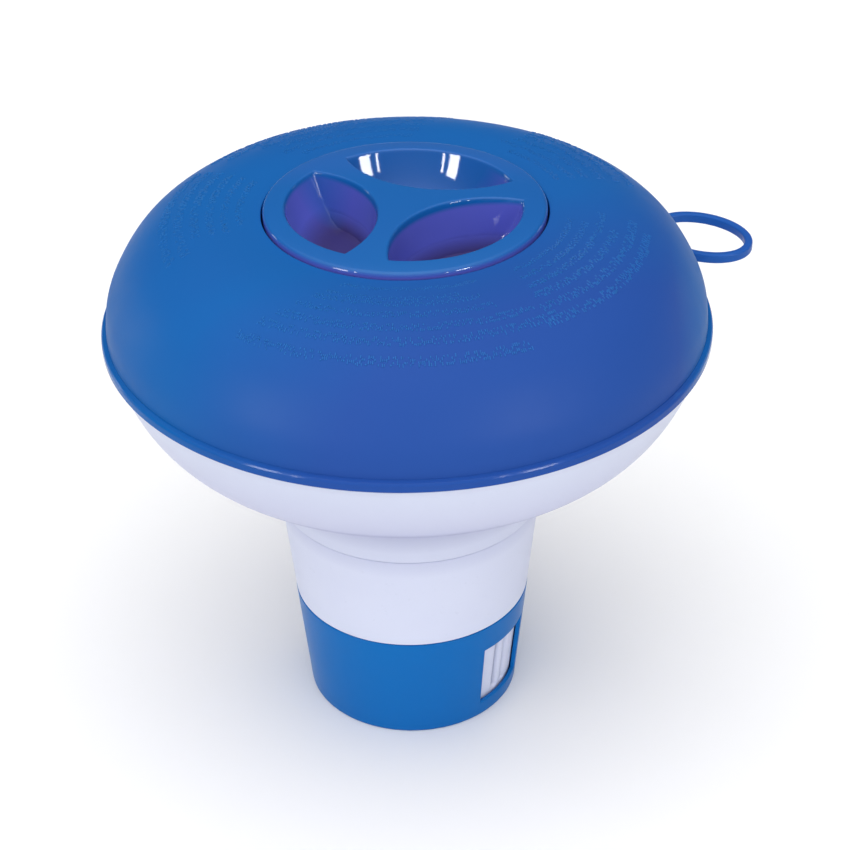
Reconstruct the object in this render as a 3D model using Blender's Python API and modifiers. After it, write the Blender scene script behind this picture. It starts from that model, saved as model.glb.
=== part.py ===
"""Floating chlorine dispenser: a blue dome over a white bowl, with a slotted feeder tube down the middle.

Metres, +Z up. The origin is the centre of the control ring's flat base, on the dispenser's axis.
Angles are in degrees about +Z, from +X.
"""

import math

import bmesh
import bpy
from mathutils import Matrix, Vector

MM = 0.001
GAP = 0.3 * MM  # clearance between touching mouldings

# Heights above the base
RIM_Z = 92.7 * MM  # lower edge of the dome's rim
RING_TOP_Z = 26.7 * MM
COLLAR_BOTTOM_Z = 50.5 * MM  # where the bowl's collar ends on the neck
SEAT_Z = 111.9 * MM  # ledge that the seal ring rests on
CAP_EDGE_Z = 119.9 * MM
CAP_CROWN = 1.0 * MM
TUBE_TOP_Z = 101.5 * MM

# Radii
RIM_R = 63.5 * MM
BOWL_LIP_R = 59.9 * MM
NECK_TOP_R, NECK_TOP_Z = 29.7 * MM, 63.4 * MM
RING_TOP_R = 26.03 * MM
BASE_R = 23.36 * MM
CAP_R = 28.95 * MM
RECESS_R = 29.3 * MM
COLLAR_BORE_R = 27.5 * MM
COLLAR_STEP = 0.3 * MM  # how far the bowl's collar stands proud of the neck
SPIGOT_R = 25.5 * MM
TUBE_R = 27.2 * MM
TUBE_BORE_R = 25.5 * MM

# Walls
WALL = 2.0 * MM
RING_WALL = 1.0 * MM
FLOOR = 1.8 * MM

# Cap lugs and the collar's ledges that hold them
LUGS = 3
LUG_WIDTH = 36.0
LEDGE_WIDTH = 75.0
LUG_Z, LUG_HEIGHT, LUG_R = 102.4 * MM, 2.0 * MM, 27.1 * MM
LEDGE_Z, LEDGE_HEIGHT, LEDGE_R = 104.9 * MM, 2.0 * MM, 26.0 * MM
FIRST_LUG = 11.0

# Finger pockets in the cap, lens-shaped seen from above: a scoop from the outer side to a steep inner wall
POCKETS = (71.0, 191.0, 311.0)
POCKET_TIP_R, POCKET_TIP_ANGLE = 24.0 * MM, 49.0
POCKET_OUTER_R, POCKET_INNER_R = 24.6 * MM, 6.0 * MM
POCKET_DEPTH = 11.0 * MM
SCOOP_WIDTH, SCOOP_POWER = 9.0 * MM, 2.5  # how far from the outer side the floor levels out, and how soon
POCKET_WALL = 1.2 * MM

# Windows in the control ring, slots in the tube behind them, and the ring's snap tongues
WINDOWS = (-33.2, 146.8)
WINDOW_WIDTH = 36.0
WINDOW_LOW_Z, WINDOW_HIGH_Z = 4.0 * MM, 19.6 * MM
SLOT_OFFSETS = (-4.2, 4.2)
SLOT_WIDTH, SLOT_MARGIN = 1.1 * MM, 0.8 * MM
TONGUES = (51.2, 231.2)
TONGUE_WIDTH = 60.0
RING_TURN = 45.0  # from open to closed
GROOVE_SLACK = 3.0
TONGUE_Z, TONGUE_HEIGHT, TONGUE_REACH = 23.0 * MM, 1.3 * MM, 0.8 * MM

# Tether loop
LOOP_CENTRE = Vector((65.3 * MM, 32.0 * MM, RIM_Z + 1.0 * MM))
LOOP_HALF_SHORT, LOOP_HALF_LONG = 9.3 * MM, 12.0 * MM
LOOP_LONG_ANGLE = 140.0
LOOP_WIDTH, LOOP_THICKNESS = 1.8 * MM, 2.2 * MM

STEPS = 56  # facets round a turned piece

BLUE = (0.024, 0.107, 0.397, 1)
WHITE = (0.70, 0.72, 0.82, 1)
GREY = (0.45, 0.46, 0.48, 1)


def new_collection(name, hidden=False):
    collection = bpy.data.collections.new(name)
    bpy.context.scene.collection.children.link(collection)
    collection.hide_render = hidden
    return collection


def plastic(name, colour, roughness):
    material = bpy.data.materials.new(name)
    material.use_nodes = True
    shader = material.node_tree.nodes["Principled BSDF"]
    shader.inputs["Base Color"].default_value = colour
    shader.inputs["Roughness"].default_value = roughness
    shader.inputs["Metallic"].default_value = 0
    return material


def object_from(name, mesh, collection, material=None):
    obj = bpy.data.objects.new(name, mesh)
    collection.objects.link(obj)
    if material:
        mesh.materials.append(material)
    return obj


def cutter(name, mesh):
    obj = object_from(name, mesh, CUTTERS)
    obj.hide_render = True
    obj.display_type = "WIRE"
    return obj


def boolean(obj, tool, operation="DIFFERENCE"):
    modifier = obj.modifiers.new(f"{operation} {tool.name}", "BOOLEAN")
    modifier.operation = operation
    modifier.object = tool
    modifier.solver = "EXACT"


def turned(name, outline, collection, material=None, steps=STEPS):
    """A closed (r, z) outline, running down its outer side, turned about Z."""
    mesh = bpy.data.meshes.new(name)
    points = [(r, 0, z) for r, z in outline]
    edges = [(i, i + 1) for i in range(len(points) - 1)]
    if outline[0][0] > 0 or outline[-1][0] > 0:
        edges.append((len(points) - 1, 0))
    mesh.from_pydata(points, edges, [])
    obj = object_from(name, mesh, collection, material)
    screw = obj.modifiers.new("Turn", "SCREW")
    screw.steps = screw.render_steps = steps
    screw.use_merge_vertices = True
    screw.merge_threshold = 1e-5
    return obj


def smooth_curve(points, count):
    """Catmull-Rom points through the given (r, z) points, count to a span."""
    ends = [2 * Vector(points[0]) - Vector(points[1])]
    knots = ends + [Vector(p) for p in points] + [2 * Vector(points[-1]) - Vector(points[-2])]
    curve = []
    for a, b, c, d in zip(knots, knots[1:], knots[2:], knots[3:]):
        for i in range(count):
            t = i / count
            curve.append(0.5 * (2 * b + (c - a) * t + (2 * a - 5 * b + 4 * c - d) * t**2
                                + (3 * b - a - 3 * c + d) * t**3))
    return [tuple(p) for p in curve] + [tuple(points[-1])]


def inset(curve, distance):
    """The (r, z) curve moved to its right-hand side, seen along the curve."""
    moved = []
    for i, point in enumerate(curve):
        before, after = curve[max(i - 1, 0)], curve[min(i + 1, len(curve) - 1)]
        along = (Vector(after) - Vector(before)).normalized()
        moved.append((point[0] + distance * along[1], point[1] - distance * along[0]))
    return moved


def sector(name, inner_r, outer_r, low_z, high_z, middle, width):
    """A closed block of a ring, swept about Z from a rectangle."""
    half = math.radians(width) / 2
    start = Matrix.Rotation(math.radians(middle) - half, 3, "Z")
    bm = bmesh.new()
    corners = ((inner_r, low_z), (outer_r, low_z), (outer_r, high_z), (inner_r, high_z))
    face = bm.faces.new([bm.verts.new(start @ Vector((r, 0, z))) for r, z in corners])
    bmesh.ops.spin(bm, geom=[face, *face.edges, *face.verts], axis=(0, 0, 1), cent=(0, 0, 0),
                   angle=2 * half, steps=max(2, round(width / 7)), use_duplicate=False)
    bmesh.ops.recalc_face_normals(bm, faces=bm.faces)
    mesh = bpy.data.meshes.new(name)
    bm.to_mesh(mesh)
    bm.free()
    return cutter(name, mesh)


def neck_r(z):
    """Radius of the tapering white neck at a height."""
    slope = (NECK_TOP_R - RING_TOP_R) / (NECK_TOP_Z - RING_TOP_Z)
    return RING_TOP_R + slope * (z - RING_TOP_Z)


def ring_r(z):
    """Outer radius of the control ring at a height."""
    return BASE_R + (RING_TOP_R - BASE_R) * z / RING_TOP_Z


def dome_curve():
    """The dome's outer side, from the cap's recess down to the rim."""
    above_rim = ((29.3, 26.0), (36, 26.2), (43, 25.4), (50, 22.8), (56, 18.1), (60, 12.0), (61.8, 7.6),
                 (62.4, 2.2))
    return smooth_curve([(r * MM, RIM_Z + z * MM) for r, z in above_rim], 2)


def bowl_curve():
    """The bowl's outer side, from under the rim down to the collar."""
    below_rim = ((62.6, -0.3), (60.5, -5.9), (57, -12.9), (52, -18.5), (45, -22.9), (36, -27.2))
    curve = smooth_curve([(r * MM, RIM_Z + z * MM) for r, z in below_rim], 2)
    return curve + [(neck_r(NECK_TOP_Z) + COLLAR_STEP, NECK_TOP_Z)]


def upper_float_shell():
    """The dome, its rim flange, the cap's recess and the collar that takes the tube's top."""
    outer = dome_curve()
    flange = [(RIM_R - 0.2 * MM, RIM_Z + 1.9 * MM), (RIM_R, RIM_Z + 1.6 * MM), (RIM_R, RIM_Z)]
    inner = inset(outer, WALL)
    skirt = [(BOWL_LIP_R + GAP, RIM_Z), (BOWL_LIP_R + GAP, RIM_Z + 6 * MM)]
    under_dome = [p for p in reversed(inner) if RIM_Z + 7 * MM < p[1] and p[0] > 33 * MM]
    collar_outer_r = COLLAR_BORE_R + 1.9 * MM
    recess_outer_r = RECESS_R + WALL
    collar = [
        (recess_outer_r, inner[0][1]), (recess_outer_r, SEAT_Z - 2 * MM), (collar_outer_r, SEAT_Z - 3 * MM),
        (collar_outer_r, RIM_Z), (COLLAR_BORE_R, RIM_Z), (COLLAR_BORE_R, SEAT_Z), (RECESS_R, SEAT_Z),
    ]
    shell = turned("upper_float_shell", outer + flange + skirt + under_dome + collar, PARTS,
                   plastic("blue gloss plastic", BLUE, 0.22))
    for i in range(LUGS):
        middle = FIRST_LUG + (i + 0.5) * 360 / LUGS
        ledge = sector(f"ledge {i}", LEDGE_R, COLLAR_BORE_R + 1 * MM, LEDGE_Z, LEDGE_Z + LEDGE_HEIGHT,
                       middle, LEDGE_WIDTH)
        boolean(shell, ledge, "UNION")
    return shell


def lower_float_shell():
    """The bowl, its lip inside the dome's skirt and the collar round the tube."""
    outer = bowl_curve()
    lip_top = RIM_Z + 5.5 * MM
    lip = [(BOWL_LIP_R - 1.6 * MM, lip_top), (BOWL_LIP_R, lip_top), (BOWL_LIP_R, RIM_Z - GAP)]
    collar_low = COLLAR_BOTTOM_Z + GAP / 2
    bore = TUBE_R + GAP
    collar = [(neck_r(collar_low) + COLLAR_STEP, collar_low), (bore, collar_low), (bore, NECK_TOP_Z + WALL)]
    under_rim = (BOWL_LIP_R - 1.8 * MM, RIM_Z - 5 * MM)
    inside = [p for p in reversed(inset(outer, WALL)[:-1]) if p[1] < RIM_Z - 9 * MM]
    return turned("lower_float_shell", lip + outer + collar + inside + [under_rim], PARTS,
                  plastic("white bowl plastic", WHITE, 0.45))


def feeder_tube():
    """The central tube: float chamber wall above, neck in the middle, slotted cage and floor below."""
    shoulder = COLLAR_BOTTOM_Z - GAP / 2
    cage_top = RING_TOP_Z - GAP
    step = RING_WALL + GAP
    floor_low = FLOOR + GAP
    outer = [(TUBE_R, TUBE_TOP_Z), (TUBE_R, shoulder), (neck_r(shoulder), shoulder),
             (neck_r(RING_TOP_Z), RING_TOP_Z), (neck_r(RING_TOP_Z) - 0.1 * MM, cage_top + 0.15 * MM),
             (ring_r(cage_top) - step, cage_top + 0.15 * MM), (ring_r(floor_low) - step, floor_low)]
    floor_high = floor_low + FLOOR
    inner = [(0, floor_low), (0, floor_high), (ring_r(floor_high) - step - FLOOR, floor_high),
             (ring_r(cage_top) - step - FLOOR, cage_top), (TUBE_BORE_R, COLLAR_BOTTOM_Z),
             (TUBE_BORE_R, TUBE_TOP_Z)]
    tube = turned("feeder_tube", outer + inner, PARTS, plastic("white tube plastic", WHITE, 0.45))
    for n, window in enumerate(WINDOWS):
        for m, offset in enumerate(SLOT_OFFSETS):
            width = math.degrees(SLOT_WIDTH / (22 * MM))
            boolean(tube, sector(f"slot {n} {m}", 15 * MM, 30 * MM, WINDOW_LOW_Z + SLOT_MARGIN,
                                 WINDOW_HIGH_Z - SLOT_MARGIN, window + offset, width))
    for n, tongue in enumerate(TONGUES):
        groove = sector(f"tongue groove {n}", ring_r(TONGUE_Z) - step - TONGUE_REACH, 30 * MM,
                        TONGUE_Z - GAP, TONGUE_Z + TONGUE_HEIGHT + GAP, tongue + RING_TURN / 2,
                        TONGUE_WIDTH + RING_TURN + 2 * GROOVE_SLACK)
        boolean(tube, groove)
    return tube


def control_ring():
    """The blue cup that turns on the cage and covers or uncovers its slots."""
    top = RING_TOP_Z - GAP / 2
    outline = [(0, FLOOR), (ring_r(FLOOR) - RING_WALL, FLOOR), (ring_r(top) - RING_WALL, top),
               (ring_r(top), top), (BASE_R, 0), (0, 0)]
    ring = turned("control_ring", outline, PARTS, plastic("blue ring plastic", BLUE, 0.25))
    for n, window in enumerate(WINDOWS):
        boolean(ring, sector(f"window {n}", 15 * MM, 30 * MM, WINDOW_LOW_Z, WINDOW_HIGH_Z, window,
                             WINDOW_WIDTH))
    for n, tongue in enumerate(TONGUES):
        inner_r = ring_r(TONGUE_Z) - RING_WALL - TONGUE_REACH
        boolean(ring, sector(f"tongue {n}", inner_r, ring_r(TONGUE_Z) - RING_WALL / 2, TONGUE_Z,
                             TONGUE_Z + TONGUE_HEIGHT, tongue, TONGUE_WIDTH), "UNION")
    return ring


def cap_top_z(r):
    """Height of the cap's gently crowned top."""
    return CAP_EDGE_Z + CAP_CROWN * (1 - (r / CAP_R) ** 2)


def bulge(sagitta, half_chord, y):
    """How far an arc of that sagitta stands off its chord, at y along the chord."""
    radius = (half_chord**2 + sagitta**2) / (2 * sagitta)
    return math.sqrt(max(radius**2 - y**2, 0)) - (radius - sagitta)


def scoop_depth(x, y, sagitta, half_chord, chord_x):
    """Depth of the pocket's floor at a point, from its distance to the outer arc."""
    radius = (half_chord**2 + sagitta**2) / (2 * sagitta)
    inward = radius - math.hypot(x - (chord_x + sagitta - radius), y)
    share = min(max(inward / SCOOP_WIDTH, 0), 1)
    return POCKET_DEPTH * (1 - (1 - share) ** SCOOP_POWER)


def pocket(name, angle, grow, stations=15, across=7):
    """A pocket as a solid: flat on top, a scooped floor below, and a steep wall on its inner side."""
    turn = Matrix.Rotation(math.radians(angle), 3, "Z")
    chord_x = POCKET_TIP_R * math.cos(math.radians(POCKET_TIP_ANGLE))
    half_chord = POCKET_TIP_R * math.sin(math.radians(POCKET_TIP_ANGLE)) + grow
    outward, inward = POCKET_OUTER_R - chord_x + grow, chord_x - POCKET_INNER_R + grow
    top_z = CAP_EDGE_Z + (3 * MM if grow == 0 else -0.4 * MM)
    bm = bmesh.new()
    rows = []
    for i in range(stations):
        y = 0.985 * half_chord * math.sin((i / (stations - 1) - 0.5) * math.pi)
        outer_x = chord_x + bulge(outward, half_chord, y)
        inner_x = chord_x - bulge(inward, half_chord, y)
        section = [(outer_x, top_z)]
        for j in range(across + 1):
            x = outer_x + (inner_x - outer_x) * (j / across) ** 1.4
            section.append((x, CAP_EDGE_Z - grow - scoop_depth(x, y, outward, half_chord, chord_x)))
        section.append((inner_x, top_z))
        rows.append([bm.verts.new(turn @ Vector((x, y, z))) for x, z in section])
    for a, b in zip(rows, rows[1:]):
        for k in range(len(a)):
            following = (k + 1) % len(a)
            bm.faces.new((a[k], a[following], b[following], b[k]))
    for end in (rows[0], rows[-1]):
        bm.faces.new(end)
    bmesh.ops.recalc_face_normals(bm, faces=bm.faces)
    mesh = bpy.data.meshes.new(name)
    bm.to_mesh(mesh)
    bm.free()
    return cutter(name, mesh)


def screw_cap():
    """The cap: crowned top, flange edge, spigot with three lugs, and three finger pockets."""
    flange_low = SEAT_Z + 1.8 * MM
    skin = 1.8 * MM
    crown = [(CAP_R * k / 6, cap_top_z(CAP_R * k / 6)) for k in range(6)]
    edge = [(CAP_R - 0.5 * MM, CAP_EDGE_Z + 0.05 * MM), (CAP_R, CAP_EDGE_Z - 0.5 * MM), (CAP_R, flange_low)]
    spigot = [(SPIGOT_R, flange_low), (SPIGOT_R, LUG_Z), (SPIGOT_R - 1.5 * MM, LUG_Z)]
    under = [(SPIGOT_R - 1.5 * MM, CAP_EDGE_Z - skin - 1 * MM), (0, CAP_EDGE_Z + CAP_CROWN - skin - 1 * MM)]
    cap = turned("screw_cap", crown + edge + spigot + under, PARTS, plastic("blue cap plastic", BLUE, 0.2))
    for i in range(LUGS):
        lug = sector(f"lug {i}", SPIGOT_R - 1 * MM, LUG_R, LUG_Z, LUG_Z + LUG_HEIGHT,
                     FIRST_LUG + i * 360 / LUGS, LUG_WIDTH)
        boolean(cap, lug, "UNION")
    for n, angle in enumerate(POCKETS):
        boolean(cap, pocket(f"pocket wall {n}", angle, POCKET_WALL), "UNION")
    for n, angle in enumerate(POCKETS):
        boolean(cap, pocket(f"pocket {n}", angle, 0))
    return cap


def cap_seal():
    """The flat seal ring under the cap's flange."""
    low = SEAT_Z + GAP
    high = SEAT_Z + 1.8 * MM - GAP
    inner, outer = SPIGOT_R + GAP, CAP_R - 0.2 * MM
    outline = [(inner, high), (outer, high), (outer, low), (inner, low)]
    return turned("cap_seal", outline, PARTS, plastic("grey seal rubber", GREY, 0.7), 40)


def loop_spline(curve, shrink):
    """A closed elliptical outline, smaller than the loop's outside by shrink."""
    count = 40
    spline = curve.splines.new("POLY")
    spline.points.add(count - 1)
    for i, point in enumerate(spline.points):
        angle = 2 * math.pi * i / count
        x, y = (LOOP_HALF_LONG - shrink) * math.cos(angle), (LOOP_HALF_SHORT - shrink) * math.sin(angle)
        point.co = (x, y, 0, 1)
    spline.use_cyclic_u = True


def tether_loop():
    """The thin flat loop outside the rim, cut to the rim's curve."""
    curve = bpy.data.curves.new("loop outline", "CURVE")
    curve.dimensions = "2D"
    curve.fill_mode = "BOTH"
    curve.extrude = LOOP_THICKNESS / 2
    loop_spline(curve, 0)
    loop_spline(curve, LOOP_WIDTH)
    outline = object_from("loop outline", curve, PARTS)
    mesh = bpy.data.meshes.new_from_object(outline.evaluated_get(bpy.context.evaluated_depsgraph_get()))
    bpy.data.objects.remove(outline)
    bm = bmesh.new()
    bm.from_mesh(mesh)
    bmesh.ops.remove_doubles(bm, verts=bm.verts, dist=1e-6)
    bm.to_mesh(mesh)
    bm.free()
    loop = object_from("tether_loop", mesh, PARTS, plastic("blue loop plastic", BLUE, 0.3))
    loop.location = LOOP_CENTRE
    loop.rotation_euler.z = math.radians(LOOP_LONG_ANGLE)
    clearance = bpy.data.meshes.new("rim clearance")
    bm = bmesh.new()
    bmesh.ops.create_cone(bm, cap_ends=True, segments=STEPS, radius1=RIM_R + GAP, radius2=RIM_R + GAP,
                          depth=20 * MM, matrix=Matrix.Translation((0, 0, RIM_Z)))
    bm.to_mesh(clearance)
    bm.free()
    boolean(loop, cutter("rim clearance", clearance))
    return loop


for old in list(bpy.data.objects):
    bpy.data.objects.remove(old, do_unlink=True)
PARTS = new_collection("floating chlorine dispenser")
CUTTERS = new_collection("cutters", hidden=True)
for make in (upper_float_shell, lower_float_shell, feeder_tube, control_ring, screw_cap, cap_seal,
             tether_loop):
    make()
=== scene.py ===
"""The look of the floating chlorine dispenser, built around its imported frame.

Every CAD node is replaced by a finer closed mesh of the same size and place, with rounded edges and a
procedural plastic or rubber material. Rows of raised specks are added on the dome.
Metres, +Z up, angles in degrees about +Z from +X. Fillets are in millimetres.
"""

import math
import random

import bmesh
import bpy
import numpy as np
from mathutils import Matrix, Vector
from mathutils.geometry import delaunay_2d_cdt


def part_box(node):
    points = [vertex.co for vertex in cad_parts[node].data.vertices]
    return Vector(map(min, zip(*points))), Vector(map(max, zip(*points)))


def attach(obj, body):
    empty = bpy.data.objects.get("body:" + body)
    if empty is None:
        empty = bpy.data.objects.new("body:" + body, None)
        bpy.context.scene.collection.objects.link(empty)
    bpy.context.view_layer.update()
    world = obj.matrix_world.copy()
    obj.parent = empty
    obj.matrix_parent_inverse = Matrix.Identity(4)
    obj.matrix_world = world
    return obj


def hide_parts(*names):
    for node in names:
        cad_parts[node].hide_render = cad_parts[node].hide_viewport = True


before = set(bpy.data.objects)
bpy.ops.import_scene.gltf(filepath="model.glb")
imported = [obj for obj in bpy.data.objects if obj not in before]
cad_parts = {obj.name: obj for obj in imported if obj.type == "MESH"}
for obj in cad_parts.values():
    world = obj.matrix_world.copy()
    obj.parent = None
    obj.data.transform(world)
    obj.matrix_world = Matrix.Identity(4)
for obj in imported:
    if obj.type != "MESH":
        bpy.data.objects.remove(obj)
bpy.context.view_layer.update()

MM = 0.001
STEPS = 240  # facets round a turned piece

# Sizes that the frame gives
SHELL, BOWL, TUBE = (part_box(n) for n in ("upper_float_shell", "lower_float_shell", "feeder_tube"))
RING, CAP, SEAL = (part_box(n) for n in ("control_ring", "screw_cap", "cap_seal"))
RIM_R, RIM_Z = SHELL[1].x, SHELL[0].z
CAP_R = CAP[1].x

# Heights and radii that the boxes don't give, as in the CAD
RING_TOP_Z = 26.7 * MM
COLLAR_BOTTOM_Z = 50.5 * MM
SEAT_Z = 111.9 * MM
CAP_EDGE_Z, CAP_CROWN = 119.9 * MM, 1.0 * MM
FLANGE_LOW_Z = SEAT_Z + 1.8 * MM
NECK_TOP_R, NECK_TOP_Z = 29.7 * MM, 63.4 * MM
RING_TOP_R, BASE_R = 26.03 * MM, 23.36 * MM
RECESS_R, BORE_R, TUBE_R, TUBE_BORE_R = 29.3 * MM, 27.5 * MM, 27.2 * MM, 25.5 * MM
SPIGOT_R, SPIGOT_BORE_R = 25.5 * MM, 24.0 * MM
BOWL_LIP_R = 59.9 * MM
GAP, WALL, RING_WALL, FLOOR = 0.3 * MM, 2.0 * MM, 1.0 * MM, 1.8 * MM
CAGE_STEP = RING_WALL + GAP

LUGS = [(11.0 + 120 * i, 36.0) for i in range(3)]  # (middle, width)
LUG_Z, LUG_HIGH_Z, LUG_R = 102.4 * MM, 104.4 * MM, 27.1 * MM
LEDGES = [(71.0 + 120 * i, 75.0) for i in range(3)]
LEDGE_Z, LEDGE_HIGH_Z, LEDGE_R = 104.9 * MM, 106.9 * MM, 26.0 * MM

WINDOWS = (-33.2, 146.8)
WINDOW_WIDTH, WINDOW_LOW_Z, WINDOW_HIGH_Z = 36.0, 4.0 * MM, 19.6 * MM
SLOT_OFFSETS, CAGE_R = (-4.2, 4.2), 22.0 * MM
SLOT_WIDTH, SLOT_LOW_Z, SLOT_HIGH_Z = math.degrees(1.1 * MM / CAGE_R), 4.8 * MM, 18.8 * MM
TONGUES = [(51.2, 60.0), (231.2, 60.0)]
GROOVES = [(middle + 22.5, 111.0) for middle, _ in TONGUES]
TONGUE_LOW_Z, TONGUE_HIGH_Z, TONGUE_REACH = 23.0 * MM, 24.3 * MM, 0.8 * MM

POCKETS = (71.0, 191.0, 311.0)
TIP_X, TIP_Y = (24.0 * MM * f(math.radians(49.0)) for f in (math.cos, math.sin))
POCKET_OUTER_R, POCKET_INNER_R, POCKET_DEPTH = 24.6 * MM, 6.0 * MM, 11.0 * MM
SCOOP_WIDTH, SCOOP_POWER = 9.0 * MM, 2.5

LOOP_CENTRE = Vector((65.3 * MM, 32.0 * MM, RIM_Z + 1.0 * MM))
LOOP_HALF_LONG, LOOP_HALF_SHORT, LOOP_LONG_ANGLE = 11.97 * MM, 9.28 * MM, 140
LOOP_WIDTH, LOOP_THICKNESS, LOOP_FILLET, LOOP_STEPS = 1.8 * MM, 2.2 * MM, 0.5, 180

# The outsides of the dome and bowl, as radius and height above the rim's lower edge in millimetres
DOME_POINTS = ((29.3, 26.0), (36, 26.2), (43, 25.4), (50, 22.8), (56, 18.1), (60, 12.0), (61.8, 7.6),
               (62.4, 2.2))
BOWL_POINTS = ((62.6, -0.3), (60.5, -5.9), (57, -12.9), (52, -18.5), (45, -22.9), (36, -27.2))

UP = (0, 0, 1)
RAMP_ANGLE = 0.35  # over which lugs, ledges, tongues and grooves rise
QUARTER = [1 - math.sin(math.radians(18 * k)) for k in range(6)]  # stations across a rounded edge, 1 to 0


# ---------------------------------------------------------------- outlines

def neck_r(z):
    return RING_TOP_R + (NECK_TOP_R - RING_TOP_R) * (z - RING_TOP_Z) / (NECK_TOP_Z - RING_TOP_Z)


def ring_r(z):
    return BASE_R + (RING_TOP_R - BASE_R) * z / RING_TOP_Z


def spline(points, count):
    """Natural cubic spline through (r, z) points, as count points evenly spaced along it."""
    p = np.array(points, float)
    t = np.concatenate([[0], np.cumsum(np.linalg.norm(np.diff(p, axis=0), axis=1))])
    h = np.diff(t)
    n = len(p)
    a, b = np.eye(n), np.zeros((n, 2))
    for i in range(1, n - 1):
        a[i, i - 1:i + 2] = h[i - 1], 2 * (h[i - 1] + h[i]), h[i]
        b[i] = 6 * ((p[i + 1] - p[i]) / h[i] - (p[i] - p[i - 1]) / h[i - 1])
    m = np.linalg.solve(a, b)
    out = []
    for s in np.linspace(0, t[-1], count):
        i = min(int(np.searchsorted(t, s, "right")) - 1, n - 2)
        u, v, w = t[i + 1] - s, s - t[i], h[i]
        q = (m[i] * u**3 + m[i + 1] * v**3) / (6 * w)
        q += (p[i] / w - m[i] * w / 6) * u + (p[i + 1] / w - m[i + 1] * w / 6) * v
        out.append((float(q[0]), float(q[1])))
    return out


def inset(curve, distance):
    """The (r, z) curve moved to its right-hand side, seen along the curve."""
    moved = []
    for i, point in enumerate(curve):
        before, after = curve[max(i - 1, 0)], curve[min(i + 1, len(curve) - 1)]
        along = (Vector(after) - Vector(before)).normalized()
        moved.append((point[0] + distance * along[1], point[1] - distance * along[0]))
    return moved


def rounded(corners, closed=True, steps=5):
    """(r, z[, fillet]) corners as an outline whose corners with a fillet, in mm, are arcs."""
    out = []
    for i, corner in enumerate(corners):
        p = Vector(corner[:2])
        radius = corner[2] * MM if len(corner) > 2 else 0
        if not radius or not closed and i in (0, len(corners) - 1):
            out.append(tuple(p))
            continue
        to_a, to_b = (Vector(corners[k][:2]) - p for k in (i - 1, (i + 1) % len(corners)))
        u, v = to_a.normalized(), to_b.normalized()
        half = u.angle(v) / 2
        cut = min(radius / math.tan(half), 0.49 * to_a.length, 0.49 * to_b.length)
        radius = cut * math.tan(half)
        centre = p + (u + v).normalized() * radius / math.sin(half)
        start, end = p + u * cut - centre, p + v * cut - centre
        if to_a.length > 4 * cut:
            out.append(tuple(p + u * cut * 1.6))
        for k in range(steps + 1):
            out.append(tuple(centre + start.slerp(end, k / steps).normalized() * radius))
        if to_b.length > 4 * cut:
            out.append(tuple(p + v * cut * 1.6))
    return out


def within(angle, spans):
    """1 where the angle is inside one of the (middle, width) spans, 0 outside, with short ramps between."""
    share = 0.0
    for middle, width in spans:
        off = abs((angle - middle + 180) % 360 - 180)
        share = max(share, min(max((width / 2 + RAMP_ANGLE / 2 - off) / RAMP_ANGLE, 0), 1))
    return share


def span_ends(spans):
    """The angles where the spans' ramps start and end."""
    offsets = (-RAMP_ANGLE / 2, RAMP_ANGLE / 2)
    return [m + side * (w / 2 + off) for m, w in spans for side in (-1, 1) for off in offsets]


def stations(extra=()):
    """Angles round the axis: even ones, and the extra ones in place of those next to them."""
    extra = sorted({round(a % 360, 4) for a in extra})
    near = 180 / STEPS
    even = [360 * i / STEPS for i in range(STEPS)]
    kept = [a for a in even if all(abs((a - e + 180) % 360 - 180) > near * 0.6 for e in extra)]
    return sorted(kept + extra)


# ---------------------------------------------------------------- meshes

def turned(outline_at, angles, closed=True, holes=()):
    """(points, faces) of an outline turned about Z. The outline may change with the angle, but not its count.

    A hole is (first angle, last angle, outer indices, inner indices): the two walls are left open there
    and joined round its edge.
    """
    rows = [outline_at(a) for a in angles]
    count, width = len(angles), len(rows[0])
    points = []
    for angle, row in zip(angles, rows):
        c, s = math.cos(math.radians(angle)), math.sin(math.radians(angle))
        points += [(r * c, r * s, z) for r, z in row]

    def at(j, i):
        return (j % count) * width + i % width

    faces, open_cells = [], set()
    for first, last, outer, inner in holes:
        columns = [j for j, a in enumerate(angles) if first - 1e-3 <= a < last - 1e-3]
        for j in columns:
            open_cells |= {(j, i) for i in list(outer[:-1]) + list(inner[:-1])}
            for a, b in ((outer[0], inner[-1]), (outer[-1], inner[0])):
                faces.append((at(j, a), at(j + 1, a), at(j + 1, b), at(j, b)))
        for j in (columns[0], columns[-1] + 1):
            for k in range(len(outer) - 1):
                a, b, c, d = outer[k], outer[k + 1], inner[-2 - k], inner[-1 - k]
                faces.append((at(j, a), at(j, b), at(j, c), at(j, d)))
    for j in range(count):
        for i in range(width if closed else width - 1):
            if (j, i) not in open_cells:
                faces.append((at(j, i), at(j, i + 1), at(j + 1, i + 1), at(j + 1, i)))
    return points, faces


def piece(name, points, faces, body, material, nodes=(), sharp=38, weld=2e-7):
    """A closed mesh object that rides on a body and stands for CAD nodes."""
    mesh = bpy.data.meshes.new(name)
    mesh.from_pydata([tuple(p) for p in points], [], faces)
    bm = bmesh.new()
    bm.from_mesh(mesh)
    bmesh.ops.remove_doubles(bm, verts=bm.verts, dist=weld)
    bmesh.ops.dissolve_degenerate(bm, edges=bm.edges, dist=weld)
    bmesh.ops.recalc_face_normals(bm, faces=bm.faces)
    if bm.calc_volume(signed=True) < 0:
        bmesh.ops.reverse_faces(bm, faces=bm.faces)
    loose = sum(not e.is_manifold for e in bm.edges)
    if loose:
        print(f"NOTE {name}: {loose} edges not manifold")
    bm.to_mesh(mesh)
    bm.free()
    mesh.shade_smooth()
    mesh.set_sharp_from_angle(angle=math.radians(sharp))
    mesh.materials.append(material)
    obj = bpy.data.objects.new(name, mesh)
    bpy.context.scene.collection.objects.link(obj)
    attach(obj, body)
    if nodes:
        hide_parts(*nodes)
    return obj


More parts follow.
